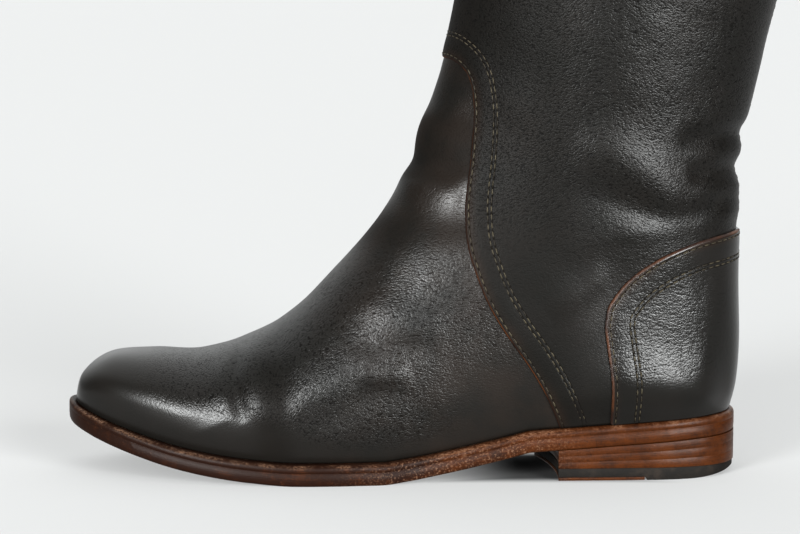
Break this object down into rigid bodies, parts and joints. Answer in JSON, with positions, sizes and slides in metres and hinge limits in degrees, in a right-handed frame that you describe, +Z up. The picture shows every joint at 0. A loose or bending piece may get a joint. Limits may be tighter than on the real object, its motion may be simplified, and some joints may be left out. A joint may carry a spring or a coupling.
{
  "type": "over-the-knee boot",
  "caption": "Tall leather riding boot for the left foot, reaching over the knee, with a lapped vamp, heel counter, welted sole and low stacked heel.",
  "frame": {"origin": "middle of the heel's face on the floor", "axes": "+Z up, -X towards the toe, -Y towards the outer side of the left foot"},
  "size_m": [0.3178, 0.132, 0.5901],
  "materials": {
    "dark_leather": "waxed, pebbled grain",
    "brown_leather": "burnished edge",
    "insole_leather": "matt",
    "black_rubber": "matt"
  },
  "bodies": {
    "root": {"upper": "dark_leather", "counter": "dark_leather", "insole": "insole_leather", "welt": "brown_leather", "outsole": "brown_leather", "heel_lift_1": "brown_leather", "heel_lift_2": "brown_leather", "heel_lift_3": "brown_leather", "top_lift": "black_rubber", "heel_pad": "brown_leather"}
  },
  "joints": []
}
